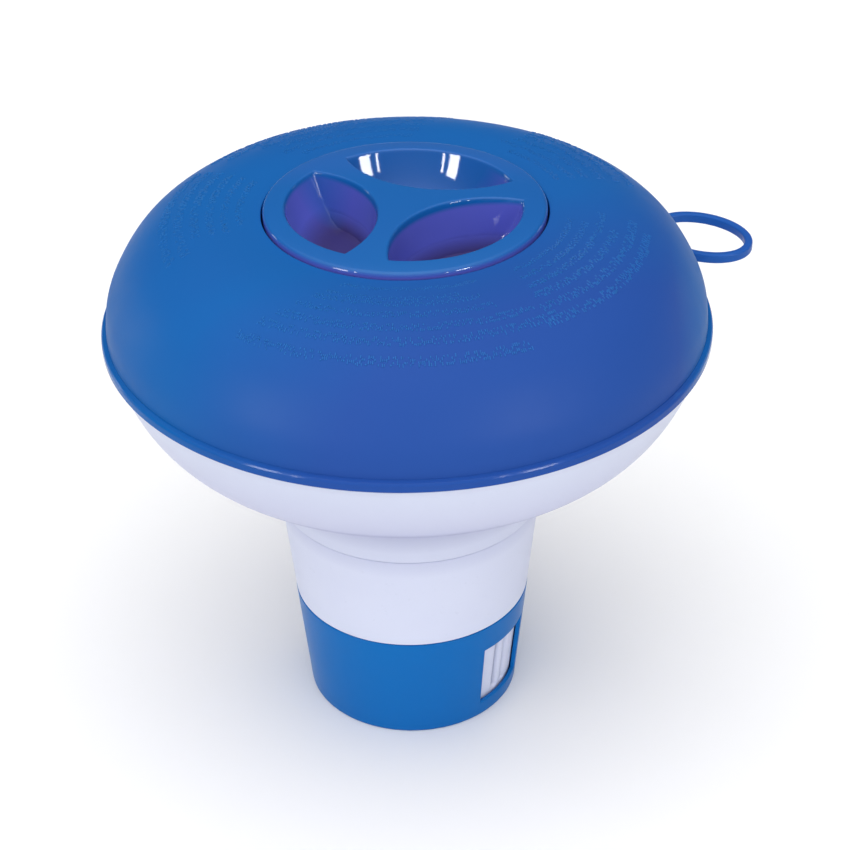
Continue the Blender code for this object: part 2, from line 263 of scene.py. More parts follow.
def edge_drop(distance, radius):
    """How far a rounded edge falls away at a distance from the end of the wall."""
    if distance >= radius:
        return 0.0
    return radius - math.sqrt(max(radius**2 - (radius - distance)**2, 0))


def hole_distance(angle, z, r, holes, low, high):
    """Distance in metres from the nearest of the holes, each given by its (middle, width)."""
    up = max(low - z, z - high, 0)
    return min(math.hypot(max(math.radians(abs((angle - m + 180) % 360 - 180) - w / 2) * r, 0), up)
               for m, w in holes)


def wall_heights(low, high, hole_low, hole_high, radius, extra=()):
    """Heights up a wall, close together beside the hole's edges, and where they start and end the hole."""
    below = [hole_low - radius * q for q in QUARTER]
    above = [hole_high + radius * q for q in reversed(QUARTER)]
    inside = list(np.linspace(hole_low, hole_high, 8)[1:-1])
    outside = [z for z in [low, *np.linspace(low, below[0], 4)[1:-1], *np.linspace(above[-1], high, 4)[1:-1],
                           high, *extra] if z < below[0] - 0.1 * MM or z > above[-1] + 0.1 * MM]
    heights = sorted(set(below + above + inside + outside))
    return heights, heights.index(below[-1]), heights.index(above[0])


def hole_angles(holes, r, radius):
    """Angles of the holes' edges and of the rounding beside them."""
    ends = []
    for middle, width in holes:
        for side in (-1, 1):
            ends += [middle + side * (width / 2 + math.degrees(radius * q / r)) for q in QUARTER]
    return ends


# ---------------------------------------------------------------- materials

def node(tree, kind, **values):
    made = tree.nodes.new(kind)
    for name, value in values.items():
        if name in made.inputs:
            made.inputs[name].default_value = value
        else:
            setattr(made, name, value)
    return made


def mixed(tree, factor, a, b, blend="MIX"):
    """A colour mix; factor, a and b are sockets or plain values."""
    mix = node(tree, "ShaderNodeMix", data_type="RGBA", blend_type=blend)
    for socket, value in ((mix.inputs[0], factor), (mix.inputs[6], a), (mix.inputs[7], b)):
        if isinstance(value, bpy.types.NodeSocket):
            tree.links.new(value, socket)
        else:
            socket.default_value = value
    return mix.outputs[2]


def ramp(tree, source, low, high, low_value=0.0, high_value=1.0):
    """source mapped from low..high to low_value..high_value, and held at the ends."""
    made = node(tree, "ShaderNodeMapRange", clamp=True)
    for name, value in (("From Min", low), ("From Max", high), ("To Min", low_value), ("To Max", high_value)):
        made.inputs[name].default_value = value
    tree.links.new(source, made.inputs["Value"])
    return made.outputs["Result"]


def along_direction(tree, vector, direction):
    """How far the vector reaches that way."""
    made = node(tree, "ShaderNodeVectorMath", operation="DOT_PRODUCT")
    made.inputs[1].default_value = direction
    tree.links.new(vector, made.inputs[0])
    return made.outputs["Value"]


def object_place(tree):
    """Coordinates that move with the piece."""
    place = tree.nodes.get("Place") or node(tree, "ShaderNodeTexCoord", name="Place")
    return place.outputs["Object"]


def height(tree):
    return along_direction(tree, object_place(tree), UP)


def noise(tree, scale, detail=3.0):
    made = node(tree, "ShaderNodeTexNoise")
    made.inputs["Scale"].default_value = scale
    made.inputs["Detail"].default_value = detail
    tree.links.new(object_place(tree), made.inputs["Vector"])
    return made.outputs["Fac"]


def outside(tree, radius, start, end):
    """1 beyond that radius from the axis and past the end height, with short ramps before."""
    flat = node(tree, "ShaderNodeVectorMath", operation="MULTIPLY")
    flat.inputs[1].default_value = (1, 1, 0)
    tree.links.new(object_place(tree), flat.inputs[0])
    away = node(tree, "ShaderNodeVectorMath", operation="LENGTH")
    tree.links.new(flat.outputs["Vector"], away.inputs[0])
    both = node(tree, "ShaderNodeMath", operation="MULTIPLY")
    tree.links.new(ramp(tree, away.outputs["Value"], radius - 0.2 * MM, radius), both.inputs[0])
    tree.links.new(ramp(tree, height(tree), start, end), both.inputs[1])
    return both.outputs[0]


# Noise scales per metre, of the clouds of shade, the dust specks and the scuffs
CLOUD_SCALE, DUST_SCALE, SCUFF_SCALE = 22, 900, 60
GRAIN_DEPTH = 0.02 * MM


def moulded(name, colour, other, edge, dust, rough, grain, specular=0.5, wear=0.35, painted_shade_heights=(), painted_light_sides=(),
            plain=None, polish=None):
    """Moulded plastic: two close shades in soft clouds, paler worn edges, fine grain, light scuffs.

    rough is the lowest and highest roughness, and grain the scale and strength of the surface's bumps.
    depths is (start z, end z, colour): painted shade, where the surface turns to that colour between the two
    heights.
    faded is (direction, start, end, colour): painted light, where it turns to that colour between two
    distances that way.
    plain is (radius, start z, end z): beyond that radius it turns back to the first colour between them,
    which keeps the painted shade off there.
    polish is (start z, end z, roughness): it is that smooth from the end height on.
    """
    material = bpy.data.materials.new(name)
    material.use_nodes = True
    tree = material.node_tree
    shader = tree.nodes["Principled BSDF"]
    clouds = ramp(tree, noise(tree, CLOUD_SCALE, 4), 0.35, 0.65)
    base = mixed(tree, clouds, colour, other)
    specks = ramp(tree, noise(tree, DUST_SCALE, 2), 0.66, 0.74, 0, 0.25)
    base = mixed(tree, specks, base, dust)
    # Painted shade by height and painted light by direction: each mixes a colour in over a span.
    for direction, start, end, shade in [(UP, *depth) for depth in painted_shade_heights] + list(painted_light_sides):
        along = along_direction(tree, object_place(tree), direction)
        base = mixed(tree, ramp(tree, along, start, end), base, shade)
    # Beyond that radius the painted shade is taken off again.
    if plain:
        base = mixed(tree, outside(tree, *plain), base, colour)
    corner = node(tree, "ShaderNodeNewGeometry").outputs["Pointiness"]
    worn = ramp(tree, corner, 0.53, 0.62, 0, wear)
    tree.links.new(mixed(tree, worn, base, edge), shader.inputs["Base Color"])
    scuffs = ramp(tree, noise(tree, SCUFF_SCALE, 5), 0.35, 0.7, rough[0], rough[1])
    if polish:
        smooth = node(tree, "ShaderNodeMix", data_type="FLOAT")
        tree.links.new(ramp(tree, height(tree), polish[0], polish[1]), smooth.inputs[0])
        tree.links.new(scuffs, smooth.inputs[2])
        smooth.inputs[3].default_value = polish[2]
        scuffs = smooth.outputs[0]
    tree.links.new(scuffs, shader.inputs["Roughness"])
    shader.inputs["Specular IOR Level"].default_value = specular
    peel = node(tree, "ShaderNodeBump")
    peel.inputs["Strength"].default_value = grain[1]
    peel.inputs["Distance"].default_value = GRAIN_DEPTH
    tree.links.new(noise(tree, grain[0], 4), peel.inputs["Height"])
    tree.links.new(peel.outputs["Normal"], shader.inputs["Normal"])
    return material


def rgb(r, g, b):
    """Linear colour, with alpha, from display values of 0 to 255."""
    return tuple(((c / 255 + 0.055) / 1.055) ** 2.4 if c > 10 else c / 255 / 12.92 for c in (r, g, b)) + (1,)


# The violet towards this side is painted light, a tint of the light falling there, not the plastic's own
# colour.
FRONT_RIGHT = (0.5, -0.87, 0)  # the side where the dome's blue is a little violet
# Painted light: the dome turns violet towards FRONT_RIGHT, and back to plain blue on the far +X side.
BLUE = moulded("dome blue", rgb(18, 95, 168), rgb(23, 92, 165), rgb(50, 118, 190), rgb(28, 100, 172),
               (0.44, 0.54), (900, 0.2), specular=0.07, wear=0.25,
               painted_light_sides=[(FRONT_RIGHT, 12 * MM, 45 * MM, rgb(37, 77, 156)),
                      ((1, 0, 0), 53 * MM, 60 * MM, rgb(20, 95, 168))],
               polish=(95.6 * MM, 94.8 * MM, 0.12))
# Painted light: the raised rows get the same violet towards FRONT_RIGHT as the dome.
MARK_BLUE = moulded("raised rows blue", rgb(25, 106, 176), rgb(32, 102, 174), rgb(70, 134, 204),
                    rgb(46, 114, 184), (0.44, 0.54), (900, 0.2), specular=0.12, wear=0.0,
                    painted_light_sides=[(FRONT_RIGHT, 12 * MM, 45 * MM, rgb(40, 102, 176))])
# Painted shade: violet on the pocket walls and the cap's side, dark violet at the pocket bottoms, back to
# blue lower down, less of it towards +Y in the back pocket, and none on the spigot.
CAP_BLUE = moulded("cap blue", rgb(14, 96, 171), rgb(18, 93, 169), rgb(50, 118, 190), rgb(28, 100, 174),
                   (0.05, 0.08), (900, 0.05), specular=0.3, wear=0.25,
                   painted_shade_heights=[(119.7 * MM, 118.8 * MM, rgb(88, 96, 194)),
                           (113.4 * MM, 109.4 * MM, rgb(60, 50, 100)),
                           (108.8 * MM, 108.5 * MM, rgb(14, 96, 171))],
                   painted_light_sides=[((0, 1, 0), 8 * MM, 17 * MM, rgb(28, 96, 174))],
                   plain=(24.85 * MM, 118.2 * MM, 117.2 * MM))
RING_BLUE = moulded("ring blue", rgb(12, 108, 184), rgb(17, 105, 181), rgb(50, 124, 200), rgb(28, 112, 186),
                    (0.28, 0.33), (900, 0.2), specular=0.08, wear=0.25)
LOOP_BLUE = moulded("loop blue", rgb(28, 88, 168), rgb(32, 84, 166), rgb(60, 122, 192), rgb(38, 98, 176),
                    (0.3, 0.42), (900, 0.3), specular=0.12)
# Painted shade: the bowl darkens towards its lower edge, with a dark band low on it just above the neck, and
# lightens again down the collar.
WHITE = moulded("bowl white", rgb(209, 215, 234), rgb(204, 210, 231), rgb(226, 230, 244),
                rgb(196, 201, 221), (0.42, 0.55), (1400, 0.4), specular=0.3,
                painted_shade_heights=[(90 * MM, 77 * MM, rgb(193, 196, 221)), (76.6 * MM, 73.9 * MM, rgb(152, 155, 190)),
                        (63 * MM, 53 * MM, rgb(210, 215, 236))])
# Painted shade: the neck is darker just under the collar's step and lightens downward.
TUBE_WHITE = moulded("tube white", rgb(217, 222, 242), rgb(212, 217, 239), rgb(232, 236, 248),
                     rgb(202, 207, 227), (0.42, 0.55), (1400, 0.4), specular=0.3,
                     painted_shade_heights=[(46 * MM, 50.4 * MM, rgb(200, 205, 230))])
RUBBER = moulded("seal rubber", rgb(176, 178, 182), rgb(166, 168, 173), rgb(190, 192, 196),
                 rgb(140, 142, 146), (0.68, 0.8), (700, 0.8), specular=0.35)


# ---------------------------------------------------------------- dome

DOME_CURVE = spline([(r * MM, RIM_Z + z * MM) for r, z in DOME_POINTS], 60)


def upper_shell():
    outer = DOME_CURVE[2:]
    inner = [p for p in reversed(inset(DOME_CURVE, WALL)) if p[1] > RIM_Z + 7 * MM and p[0] > 33 * MM]
    collar_r, recess_r = BORE_R + 1.9 * MM, RECESS_R + WALL
    start = [(*DOME_CURVE[0], 0.25)]
    flange = [(RIM_R - 0.25 * MM, RIM_Z + 1.95 * MM, 0.35), (RIM_R, RIM_Z + 1.45 * MM, 0.3),
              (RIM_R, RIM_Z, 0.15), (BOWL_LIP_R + GAP, RIM_Z, 0.15), (BOWL_LIP_R + GAP, RIM_Z + 6 * MM, 0.3)]
    inside = [(recess_r, inner[-1][1], 0.8), (recess_r, SEAT_Z - 2 * MM, 0.3),
              (collar_r, SEAT_Z - 3 * MM, 0.3), (collar_r, RIM_Z, 0.25), (BORE_R, RIM_Z, 0.25)]

    def outline_at(angle):
        ledge_r = BORE_R + (LEDGE_R - BORE_R) * within(angle, LEDGES)
        bore = [(BORE_R, LEDGE_Z), (ledge_r, LEDGE_Z), (ledge_r, LEDGE_HIGH_Z), (BORE_R, LEDGE_HIGH_Z)]
        seat = [(BORE_R, SEAT_Z, 0.2), (RECESS_R, SEAT_Z, 0.15)]
        return rounded(start + outer + flange + inner + inside + bore + seat)

    points, faces = turned(outline_at, stations(span_ends(LEDGES)))
    piece("dome_shell", points, faces, "float", BLUE, ["upper_float_shell"])


def lower_shell():
    outer = spline([(r * MM, RIM_Z + z * MM) for r, z in BOWL_POINTS], 40)
    inside = [p for p in reversed(inset(outer, WALL)) if p[1] < RIM_Z - 9 * MM]
    low, lip_top = BOWL[0].z, BOWL[1].z
    outline = rounded(
        [(BOWL_LIP_R - 1.6 * MM, lip_top, 0.3), (BOWL_LIP_R, lip_top, 0.3), (BOWL_LIP_R, RIM_Z - GAP, 0.1),
         (*outer[0], 0.4)] + outer[2:-2]
        + [(neck_r(NECK_TOP_Z) + 0.3 * MM, NECK_TOP_Z, 0.8), (neck_r(low) + 0.3 * MM, low, 0.2),
           (BORE_R, low, 0.1), (BORE_R, NECK_TOP_Z + WALL, 0.4)]
        + inside + [(BOWL_LIP_R - 1.8 * MM, RIM_Z - 5 * MM)])
    points, faces = turned(lambda angle: outline, stations())
    piece("bowl_shell", points, faces, "float", WHITE, ["lower_float_shell"])


# ---------------------------------------------------------------- tube and ring

def tube():
    """The neck, the plain upper part inside the collar, and the slotted cage that the ring turns on."""
    slots = sorted(((w + off) % 360, SLOT_WIDTH) for w in WINDOWS for off in SLOT_OFFSETS)
    edge = 1.0 * MM
    low, top = TUBE[0].z, TUBE[1].z
    cage_top = RING_TOP_Z - 0.15 * MM
    groove_z = (TONGUE_LOW_Z - GAP, TONGUE_HIGH_Z + GAP)
    groove_r = ring_r(TONGUE_LOW_Z) - CAGE_STEP - TONGUE_REACH
    heights, k0, k1 = wall_heights(low + 0.9 * MM, groove_z[0] - 0.2 * MM, SLOT_LOW_Z, SLOT_HIGH_Z, edge)
    shoulder = COLLAR_BOTTOM_Z - GAP / 2
    floor_high = low + FLOOR
    bottom = rounded([(0, low), (ring_r(low) - CAGE_STEP, low, 0.6), (ring_r(low) - CAGE_STEP, low + 5 * MM)],
                     closed=False)[:-2]
    neck = rounded([(ring_r(cage_top) - CAGE_STEP, groove_z[1] + 0.4 * MM),
                    (ring_r(cage_top) - CAGE_STEP, cage_top, 0.1), (RING_TOP_R - 0.1 * MM, cage_top, 0.25),
                    (neck_r(shoulder), shoulder, 0.25), (TUBE_R, shoulder, 0.15), (TUBE_R, top, 0.4),
                    (TUBE_BORE_R, top, 0.4), (TUBE_BORE_R, COLLAR_BOTTOM_Z, 6.0),
                    (ring_r(26.4 * MM) - CAGE_STEP - FLOOR, 26.4 * MM, 6.0),
                    (ring_r(22 * MM) - CAGE_STEP - FLOOR, 22 * MM)], closed=False)[1:]
    floor_corner = rounded([(ring_r(8 * MM) - CAGE_STEP - FLOOR, 8 * MM),
                            (ring_r(floor_high) - CAGE_STEP - FLOOR, floor_high, 0.6), (0, floor_high)],
                           closed=False)[1:]
    inner_heights = [z for z in reversed(heights) if z > floor_high + 0.8 * MM]
    first = len(bottom)

    def outline_at(angle):
        def wall(z, outside):
            r = ring_r(z) - CAGE_STEP - (0 if outside else FLOOR)
            radius = edge if outside else 0.3 * MM
            drop = edge_drop(hole_distance(angle, z, r, slots, SLOT_LOW_Z, SLOT_HIGH_Z), radius)
            return r - drop if outside else r + drop

        deep = within(angle, GROOVES)
        groove = []
        for z in groove_z:
            face = ring_r(z) - CAGE_STEP
            pair = [(face, z), (face + (groove_r - face) * deep, z)]
            groove += pair if z == groove_z[0] else pair[::-1]
        return (bottom + [(wall(z, True), z) for z in heights] + groove + neck
                + [(wall(z, False), z) for z in inner_heights] + floor_corner)

    inner_first = first + len(heights) + 4 + len(neck)
    top_in, low_in = inner_heights.index(heights[k1]), inner_heights.index(heights[k0])
    outer = range(first + k0, first + k1 + 1)
    inner = range(inner_first + top_in, inner_first + low_in + 1)
    holes = [(m - w / 2, m + w / 2, outer, inner) for m, w in slots]
    angles = stations(hole_angles(slots, CAGE_R, edge) + span_ends(GROOVES))
    points, faces = turned(outline_at, angles, closed=False, holes=holes)
    piece("feeder_tube_finished", points, faces, "float", TUBE_WHITE, ["feeder_tube"])


def ring():
    """The cup at the bottom, with its two windows and the tongues that hold it on the tube."""
    windows = sorted((w % 360, WINDOW_WIDTH) for w in WINDOWS)
    edge = 0.3 * MM
    top = RING[1].z - 0.15 * MM
    tongue_z = (TONGUE_LOW_Z, TONGUE_HIGH_Z)
    heights, k0, k1 = wall_heights(1.6 * MM, TONGUE_LOW_Z - 0.5 * MM, WINDOW_LOW_Z, WINDOW_HIGH_Z, edge)
    inner_heights = [z for z in heights if z > FLOOR + 1.3 * MM]
    floor_part = rounded([(0, FLOOR), (ring_r(FLOOR) - RING_WALL, FLOOR, 0.9),
                          (ring_r(8 * MM) - RING_WALL, 8 * MM)], closed=False)[:-1]
    rim_part = rounded([(ring_r(tongue_z[1]) - RING_WALL, tongue_z[1] + 0.2 * MM),
                        (ring_r(top) - RING_WALL, top, 0.3), (ring_r(top), top, 0.25),
                        (ring_r(20 * MM), 20 * MM)], closed=False)[1:-1]
    base_part = rounded([(ring_r(8 * MM), 8 * MM), (BASE_R, 0, 0.6), (0, 0)], closed=False)[2:]

    def outline_at(angle):
        def wall(z, outside):
            r = ring_r(z) - (0 if outside else RING_WALL)
            drop = edge_drop(hole_distance(angle, z, r, windows, WINDOW_LOW_Z, WINDOW_HIGH_Z), edge)
            return r - drop if outside else r + drop

        out = within(angle, TONGUES)
        tip_r = ring_r(TONGUE_LOW_Z) - RING_WALL - TONGUE_REACH
        tongue = []
        for z in tongue_z:
            face = ring_r(z) - RING_WALL
            pair = [(face, z), (face + (tip_r - face) * out, z)]
            tongue += pair if z == tongue_z[0] else pair[::-1]
        return (floor_part + [(wall(z, False), z) for z in inner_heights] + tongue + rim_part
                + [(wall(z, True), z) for z in reversed(heights)] + base_part)

    inner_first = len(floor_part)
    outer_first = inner_first + len(inner_heights) + 4 + len(rim_part)
    low_in, top_in = inner_heights.index(heights[k0]), inner_heights.index(heights[k1])
    inner = range(inner_first + low_in, inner_first + top_in + 1)
    outer = range(outer_first + len(heights) - 1 - k1, outer_first + len(heights) - k0)
    holes = [(m - w / 2, m + w / 2, outer, inner) for m, w in windows]
    angles = stations(hole_angles(windows, 24.5 * MM, edge) + span_ends(TONGUES))
    points, faces = turned(outline_at, angles, closed=False, holes=holes)
    piece("control_ring_finished", points, faces, "ring", RING_BLUE, ["control_ring"])


# ---------------------------------------------------------------- cap

def arc_of(sagitta, half_chord):
    return (half_chord**2 + sagitta**2) / (2 * sagitta)


# The two arcs of a pocket's outline, as radius and centre on its own x axis
OUTER_ARC_R = arc_of(POCKET_OUTER_R - TIP_X, TIP_Y)
OUTER_ARC_X = POCKET_OUTER_R - OUTER_ARC_R
INNER_ARC_R = arc_of(TIP_X - POCKET_INNER_R, TIP_Y)
INNER_ARC_X = POCKET_INNER_R + INNER_ARC_R
SCOOP_SLOPE = POCKET_DEPTH * SCOOP_POWER / SCOOP_WIDTH
LIP_R, LIP_GROW = 0.55 * MM, 0.62 * MM
CREASE = 12  # how tightly the scoop's floor turns up into the inner wall


def lip(distance, slope, depth):
    """Depth at a distance inside an edge, with the edge rounded between the flat and the slope."""
    reach = LIP_R * math.tan(math.atan(slope) / 2)
    if distance <= -reach:
        return 0.0
    if distance < reach * math.cos(math.atan(slope)):
        return LIP_R - math.sqrt(max(LIP_R**2 - (distance + reach)**2, 0))
    return depth


def pocket_depth(x, y, wall_slope=7.5, grow=0.0):
    """Depth of a pocket below the cap's top, at a point in the pocket's own plane."""
    out = OUTER_ARC_R + grow - math.hypot(x - OUTER_ARC_X, y)
    back = INNER_ARC_R + grow - math.hypot(x - INNER_ARC_X, y)
    share = min(max(out / SCOOP_WIDTH, 0), 1)
    scoop = lip(out, SCOOP_SLOPE, POCKET_DEPTH * (1 - (1 - share)**SCOOP_POWER))
    wall = lip(back, wall_slope, wall_slope * back)
    if scoop < 1e-9 or wall < 1e-9:
        return 0.0
    low, high = min(scoop, wall), max(scoop, wall)
    return low * (1 + (low / high)**CREASE)**(-1 / CREASE)


def cap_top_z(r):
    return CAP_EDGE_Z + CAP_CROWN * (1 - (r / CAP_R)**2)


def pocket_stations(width):
    """Places across a pocket of that width, from the outer side to the inner, close together at both lips."""
    near = [0, 0.1, 0.2, 0.3, 0.4, 0.5, 0.6, 0.7, 0.8, 0.95, 1.2]
    scale = min(1, width / (6 * MM)) * MM
    a = [scale * v for v in near]
    middle = list(np.linspace(a[-1], width - a[-1], 26)[1:-1])
    return a + middle + [width - v for v in reversed(a)]


def pocket_patch(turn):
    """(points, faces, outline) of one pocket's surface; the outline's indices run once round it."""
    outer_r, inner_r = OUTER_ARC_R + LIP_GROW, INNER_ARC_R + LIP_GROW
    apart = INNER_ARC_X - OUTER_ARC_X
    tip_x = (outer_r**2 - inner_r**2 + apart**2) / (2 * apart)
    tip_y = math.sqrt(outer_r**2 - tip_x**2)
    tip_x += OUTER_ARC_X
    rows = []
    for k in range(1, 64):
        y = -tip_y * math.cos(math.pi * k / 64)
        x_out = OUTER_ARC_X + math.sqrt(outer_r**2 - y**2)
        x_in = INNER_ARC_X - math.sqrt(inner_r**2 - y**2)
        rows.append([(x_out - s, y) for s in pocket_stations(x_out - x_in)])
    flat = [(tip_x, -tip_y)] + [p for row in rows for p in row] + [(tip_x, tip_y)]
    points = []
    for x, y in flat:
        z = cap_top_z(math.hypot(x, y)) - pocket_depth(x, y)
        points.append(turn @ Vector((x, y, z)))
    width, last = len(rows[0]), len(flat) - 1
    faces = []
    for j in range(width - 1):
        faces.append((0, 1 + j, 2 + j))
        faces.append((last, last - width + j + 1, last - width + j))
    for k in range(len(rows) - 1):
        for j in range(width - 1):
            a = 1 + k * width + j
            faces.append((a, a + width, a + width + 1, a + 1))
    outer_side = [1 + k * width for k in range(len(rows))]
    inner_side = [k * width for k in range(len(rows), 0, -1)]
    return points, faces, [0] + outer_side + [last] + inner_side


def cap_crown(angles, edge_r):
    """(points, faces) of the cap's top inside edge_r, with its three pockets."""
    points, faces, holes = [], [], []
    for angle in POCKETS:
        patch, patch_faces, outline = pocket_patch(Matrix.Rotation(math.radians(angle), 3, "Z"))
        shift = len(points)
        points += patch
        faces += [tuple(i + shift for i in f) for f in patch_faces]
        holes.append([Vector(patch[i][:2]) for i in outline])
    flat, edges = [], []

    def loop(ring_points):
        start = len(flat)
        flat.extend(ring_points)
        count = len(ring_points)
        edges.extend((start + i, start + (i + 1) % count) for i in range(count))

    turns = [math.radians(a) for a in angles]
    loop([Vector((edge_r * math.cos(t), edge_r * math.sin(t))) for t in turns])
    for hole in holes:
        loop(hole)

    def in_hole(x, y, margin):
        for angle in POCKETS:
            c, s = math.cos(math.radians(-angle)), math.sin(math.radians(-angle))
            px, py = x * c - y * s, x * s + y * c
            if (math.hypot(px - OUTER_ARC_X, py) < OUTER_ARC_R + LIP_GROW + margin
                    and math.hypot(px - INNER_ARC_X, py) < INNER_ARC_R + LIP_GROW + margin):
                return True
        return False

    spacing = 1.5 * MM
    for ring_index in range(int(edge_r / spacing)):
        r = ring_index * spacing
        count = max(1, round(2 * math.pi * r / spacing))
        for k in range(count):
            t = 2 * math.pi * (k + 0.5 * (ring_index % 2)) / count
            x, y = r * math.cos(t), r * math.sin(t)
            if r < edge_r - 0.6 * spacing and not in_hole(x, y, 0.5 * spacing):
                flat.append(Vector((x, y)))
    scaled = [p / MM for p in flat]
    made, _, triangles, *_ = delaunay_2d_cdt(scaled, edges, [], 0, 1e-7)
    shift = len(points)
    for p in made:
        x, y = p.x * MM, p.y * MM
        points.append(Vector((x, y, cap_top_z(math.hypot(x, y)))))
    for triangle in triangles:
        x, y = (sum(made[i][axis] for i in triangle) / len(triangle) * MM for axis in (0, 1))
        if not in_hole(x, y, -0.004 * MM):
            faces.append(tuple(i + shift for i in triangle))
    return points, faces


def cap_under_z(x, y):
    """Height of the cap's underside inside the spigot: flat, with a blister under each pocket."""
    r = math.hypot(x, y)
    flat = CAP_EDGE_Z - 2.8 * MM + CAP_CROWN * (1 - r / SPIGOT_BORE_R)
    low = flat
    for angle in POCKETS:
        c, s = math.cos(math.radians(-angle)), math.sin(math.radians(-angle))
        depth = pocket_depth(x * c - y * s, x * s + y * c, 3.0, 1.2 * MM)
        if depth:
            low = min(low, cap_top_z(r) - depth - 1.2 * MM)
    return low


def cap():
    edge = 0.9
    inner_edge_r = CAP_R - edge * MM
    angles = stations(span_ends(LUGS))
    flat_r = inner_edge_r - 1 * MM
    side = rounded([(flat_r, cap_top_z(flat_r)), (CAP_R, cap_top_z(CAP_R), edge), (CAP_R, FLANGE_LOW_Z, 0.3),
                    (SPIGOT_R, FLANGE_LOW_Z, 0.3), (SPIGOT_R, LUG_HIGH_Z + 2 * MM)], closed=False, steps=7)
    side = side[1:-1]
    side[0] = (side[0][0], cap_top_z(side[0][0]))
    rows = np.linspace(SPIGOT_BORE_R, 0, 61)

    def outline_at(angle):
        c, s = math.cos(math.radians(angle)), math.sin(math.radians(angle))
        lug_r = SPIGOT_R + (LUG_R - SPIGOT_R) * within(angle, LUGS)
        spigot = [(SPIGOT_R, LUG_HIGH_Z + 0.2 * MM), (SPIGOT_R, LUG_HIGH_Z), (lug_r, LUG_HIGH_Z),
                  (lug_r, LUG_Z + 0.3 * MM), (lug_r - 0.3 * MM, LUG_Z), (SPIGOT_BORE_R + 0.3 * MM, LUG_Z),
                  (SPIGOT_BORE_R, LUG_Z + 0.3 * MM)]
        top = cap_under_z(SPIGOT_BORE_R * c, SPIGOT_BORE_R * s)
        wall = [(SPIGOT_BORE_R, z) for z in np.linspace(LUG_Z + 0.3 * MM, top, 8)[1:-1]]
        under = [(r, cap_under_z(r * c, r * s)) for r in rows]
        return side + spigot + wall + under

    points, faces = turned(outline_at, angles, closed=False)
    top_points, top_faces = cap_crown(angles, side[0][0])
    shift = len(points)
    points += [tuple(p) for p in top_points]
    faces += [tuple(i + shift for i in f) for f in top_faces]
    piece("cap_finished", points, faces, "cap", CAP_BLUE, ["screw_cap"], weld=2e-6)


def seal():
    low, high = SEAL[0].z, SEAL[1].z
    inner, outer = SPIGOT_R + GAP, SEAL[1].x
    outline = rounded([(inner, high, 0.3), (outer, high, 0.4), (outer, low, 0.4), (inner, low, 0.3)])
    points, faces = turned(lambda angle: outline, stations())
    piece("seal_ring", points, faces, "seal", RUBBER, ["cap_seal"])


# ---------------------------------------------------------------- tether loop

def tether():
    """The oval loop: a rounded oblong section swept round an ellipse that lies level."""
    turn = Matrix.Rotation(math.radians(LOOP_LONG_ANGLE), 3, "Z")
    a, b = LOOP_HALF_LONG - LOOP_WIDTH / 2, LOOP_HALF_SHORT - LOOP_WIDTH / 2
    half, rise = LOOP_WIDTH / 2, LOOP_THICKNESS / 2
    section = rounded([(u * half, v * rise, LOOP_FILLET) for u, v in ((-1, -1), (1, -1), (1, 1), (-1, 1))])
    points, faces = [], []
    size = len(section)
    for k in range(LOOP_STEPS):
        t = 2 * math.pi * k / LOOP_STEPS
        middle = LOOP_CENTRE + turn @ Vector((a * math.cos(t), b * math.sin(t), 0))
        along = turn @ Vector((-a * math.sin(t), b * math.cos(t), 0)).normalized()
        across = along.cross(Vector(UP))
        points += [middle + across * u + Vector((0, 0, v)) for u, v in section]
        for i in range(size):
            j, after = (i + 1) % size, (k + 1) % LOOP_STEPS
            faces.append((k * size + i, k * size + j, after * size + j, after * size + i))
    piece("tether_band", points, faces, "float", LOOP_BLUE, ["tether_loop"])


# ---------------------------------------------------------------- raised rows on the dome

ROW_BLOCKS = (  # middle angle, widths of the top and bottom rows in degrees, distances down the dome in mm
    (-96, 32, 64, (3.9, 7.5, 9.3, 12.5, 16.0, 19.3, 23.6)),
    (-35, 34, 46, (4.4, 7.4, 10.4, 13.6, 16.9, 20.4)),
    (34, 28, 36, (4.4, 7.4, 10.4, 13.6, 16.9, 20.4)),
    (107, 40, 60, (4.4, 7.4, 10.4, 13.6, 16.9, 20.4)),
    (172, 30, 40, (4.4, 7.4, 10.4, 13.6, 16.9, 20.4)),
)
ROW_HEIGHTS = (1.3 * MM, 2.1 * MM)  # of the top and bottom rows
SPECK_LEVELS = (-0.36, -0.1, 0.16, 0.38)  # as shares of the row's height
SPECK_HEIGHTS = (0.2, 0.42)  # as shares of the row's height
SPECK_LENGTHS, SPECK_GAPS, BREAKS = (0.2, 0.3), (0.09, 0.15), (0.3, 0.5)  # along the row, in mm
COLUMNS = (12, 30)  # between breaks
MARK_RAISE, MARK_SINK, MARK_SLOPE = 0.13 * MM, 0.12 * MM, 0.05 * MM


def dome_place(distance):
    """(r, z, slope) on the dome's outer side at a distance down it from the recess."""
    steps = np.array(DOME_CURVE)
    lengths = np.concatenate([[0], np.cumsum(np.linalg.norm(np.diff(steps, axis=0), axis=1))])
    r, z = (float(np.interp(distance, lengths, steps[:, k])) for k in (0, 1))
    r2, z2 = (float(np.interp(distance + 0.2 * MM, lengths, steps[:, k])) for k in (0, 1))
    return r, z, math.atan2(z2 - z, r2 - r)


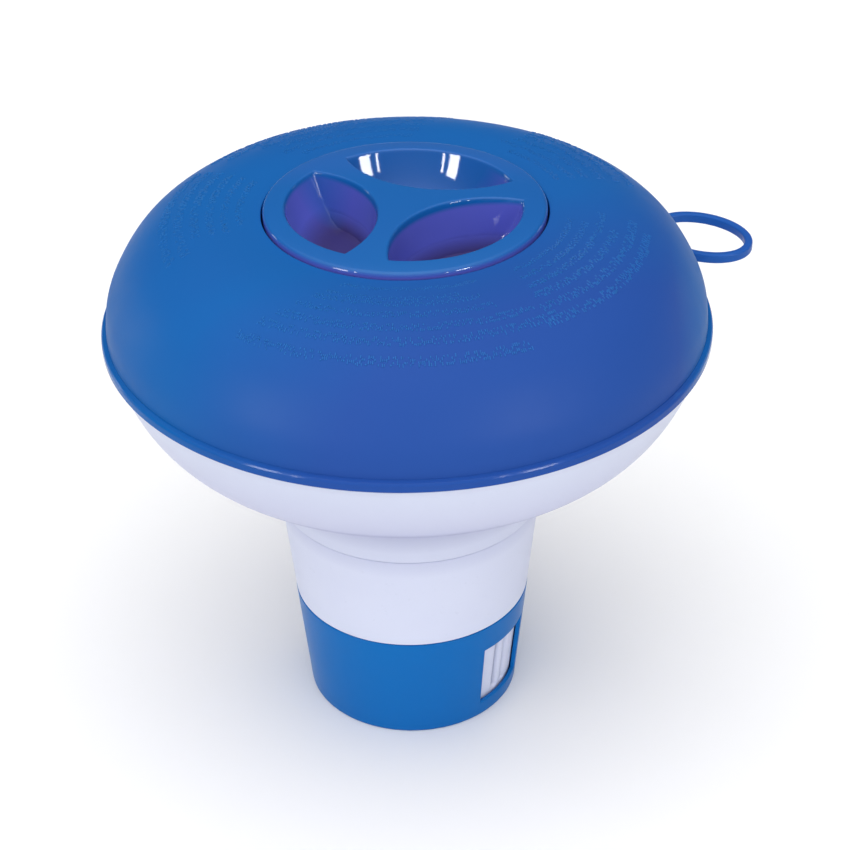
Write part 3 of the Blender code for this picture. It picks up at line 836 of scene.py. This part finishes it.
def mark(points, faces, angle, distance, length, height):
    """One raised speck with sloping sides, sunk a little into the dome."""
    r, z, slope = dome_place(distance)
    turn = Matrix.Rotation(math.radians(angle), 3, "Z")
    down = turn @ Vector((math.cos(slope), 0, math.sin(slope)))
    across = turn @ Vector((0, 1, 0))
    out = across.cross(down) * -1
    centre = turn @ Vector((r, 0, z))
    start = len(points)
    for grow, rise in ((0.0, -MARK_SINK), (0.0, 0.0), (-MARK_SLOPE, MARK_RAISE)):
        for u, v in ((-1, -1), (1, -1), (1, 1), (-1, 1)):
            points.append(centre + across * u * (length / 2 + grow) + down * v * (height / 2 + grow)
                          + out * rise)
    for level in (0, 4):
        for k in range(4):
            m = (k + 1) % 4
            faces.append((start + level + k, start + level + m, start + level + 4 + m, start + level + 4 + k))
    faces.append((start, start + 3, start + 2, start + 1))
    faces.append((start + 8, start + 9, start + 10, start + 11))


def raised_rows():
    """Rows of tiny random specks, which stand for moulded notices and spell nothing."""
    draw = random.Random(11)
    points, faces = [], []
    for middle, top_width, bottom_width, rows in ROW_BLOCKS:
        for n, row in enumerate(rows):
            distance, share = row * MM, n / (len(rows) - 1)
            r = dome_place(distance)[0]
            width = top_width + (bottom_width - top_width) * share
            tall = ROW_HEIGHTS[0] + (ROW_HEIGHTS[1] - ROW_HEIGHTS[0]) * share
            angle, end = middle - width / 2, middle + width / 2
            while angle < end:
                for _ in range(draw.randint(*COLUMNS)):
                    length = draw.uniform(*SPECK_LENGTHS) * MM
                    for level in draw.sample(SPECK_LEVELS, draw.randint(1, 2)):
                        mark(points, faces, angle + math.degrees(length / 2 / r), distance + level * tall,
                             length, tall * draw.uniform(*SPECK_HEIGHTS))
                    angle += math.degrees((length + draw.uniform(*SPECK_GAPS) * MM) / r)
                angle += math.degrees(draw.uniform(*BREAKS) * MM / r)
    piece("dome_raised_rows", points, faces, "float", MARK_BLUE, sharp=20)


for make in (upper_shell, lower_shell, tube, ring, cap, seal, tether, raised_rows):
    make()


# ---------------------------------------------------------------- floor, light and camera

SKY_LOW, SKY_HIGH = 0.14, 2.45
SKY_TOWARDS = (-0.05, -0.25, 0.967)  # where the soft light from above is brightest
SKY_START, SKY_POWER = 0.15, 2.0  # cosine from that direction where the light starts, and how it grows
# name, azimuth, elevation, distance, width and height in metres, power in watts, seen in diffuse, in gloss
SOFTBOXES = (
    ("window_left", -140, 17, 1.1, 0.2, 0.24, 6.0, False, True),
    ("window_left_pane", -128.5, 17, 1.1, 0.04, 0.2, 1.0, False, True),
    ("window_right", -46, 17, 1.1, 0.2, 0.24, 6.0, False, True),
    ("window_right_pane", -59, 17, 1.1, 0.04, 0.2, 1.0, False, True),
    ("back_left", 152, 3, 0.9, 0.12, 0.3, 0.5, True, True),
    ("back_right", 33, 3, 0.9, 0.12, 0.3, 0.12, True, True),
    ("front_fill", -90, 12, 1.2, 0.8, 0.5, 2.0, True, False),
)
SOFTBOX_TARGET = Vector((0, 0, 0.08))
FLOOR_REACH = 40.0
FLOOR_COLOURS = ((0.95, 0.95, 0.95, 1), (0.97, 0.97, 0.97, 1))
CAMERA_ELEVATION, CAMERA_DISTANCE, CAMERA_LENS = 30.45, 0.469, 94.86
CAMERA_TURNS = ((-1.06, "Z"), (2.694, "X"), (-0.456, "Y"))  # small turns off the line to the rim's centre


def floor():
    mesh = bpy.data.meshes.new("studio_floor")
    corners = [(x * FLOOR_REACH, y * FLOOR_REACH, 0) for x, y in ((-1, -1), (1, -1), (1, 1), (-1, 1))]
    mesh.from_pydata(corners, [], [(0, 1, 2, 3)])
    obj = bpy.data.objects.new("studio_floor", mesh)
    bpy.context.scene.collection.objects.link(obj)
    material = bpy.data.materials.new("studio floor")
    material.use_nodes = True
    tree = material.node_tree
    shader = tree.nodes["Principled BSDF"]
    clouds = ramp(tree, noise(tree, 3), 0.3, 0.7)
    tree.links.new(mixed(tree, clouds, *FLOOR_COLOURS), shader.inputs["Base Color"])
    shader.inputs["Roughness"].default_value = 0.9
    shader.inputs["Specular IOR Level"].default_value = 0.1
    mesh.materials.append(material)


def softbox(name, azimuth, elevation, distance, width, tall, power, diffuse, gloss):
    """An area light in that direction from the object, facing it."""
    light = bpy.data.lights.new(name, "AREA")
    light.shape = "RECTANGLE"
    light.size, light.size_y = width, tall
    light.energy = power
    obj = bpy.data.objects.new(name, light)
    a, e = math.radians(azimuth), math.radians(elevation)
    away = Vector((math.cos(a) * math.cos(e), math.sin(a) * math.cos(e), math.sin(e)))
    obj.location = SOFTBOX_TARGET + away * distance
    obj.rotation_euler = away.to_track_quat("Z", "Y").to_euler()
    obj.visible_camera, obj.visible_diffuse, obj.visible_glossy = False, diffuse, gloss
    bpy.context.scene.collection.objects.link(obj)


def studio():
    """Soft light that is brightest overhead and falls off to the horizon, and a few small panels."""
    world = bpy.data.worlds.new("studio")
    world.use_nodes = True
    tree = world.node_tree
    up = along_direction(tree, node(tree, "ShaderNodeTexCoord").outputs["Generated"], SKY_TOWARDS)
    falloff = node(tree, "ShaderNodeMath", operation="POWER")
    tree.links.new(ramp(tree, up, SKY_START, 1.0), falloff.inputs[0])
    falloff.inputs[1].default_value = SKY_POWER
    background = tree.nodes["Background"]
    background.inputs["Color"].default_value = (1.0, 1.0, 1.0, 1)
    strength = ramp(tree, falloff.outputs["Value"], 0.0, 1.0, SKY_LOW, SKY_HIGH)
    tree.links.new(strength, background.inputs["Strength"])
    bpy.context.scene.world = world
    for panel in SOFTBOXES:
        softbox(*panel)


def camera():
    elevation = math.radians(CAMERA_ELEVATION)
    forward = Vector((0, math.cos(elevation), -math.sin(elevation)))
    right = Vector((1, 0, 0))
    rows = Matrix((right, forward.cross(right), forward))
    for angle, axis in CAMERA_TURNS:
        rows = Matrix.Rotation(math.radians(angle), 3, axis) @ rows
    data = bpy.data.cameras.new("camera")
    data.lens, data.sensor_width = CAMERA_LENS, 36
    data.clip_start, data.clip_end = 0.01, 100
    obj = bpy.data.objects.new("camera", data)
    bpy.context.scene.collection.objects.link(obj)
    turn = Matrix((rows[0], -rows[1], -rows[2])).transposed()
    obj.matrix_world = Matrix.Translation(Vector((0, 0, RIM_Z)) - forward * CAMERA_DISTANCE) @ turn.to_4x4()
    bpy.context.scene.camera = obj


floor()
studio()
camera()
bpy.context.scene.view_settings.view_transform = "Standard"
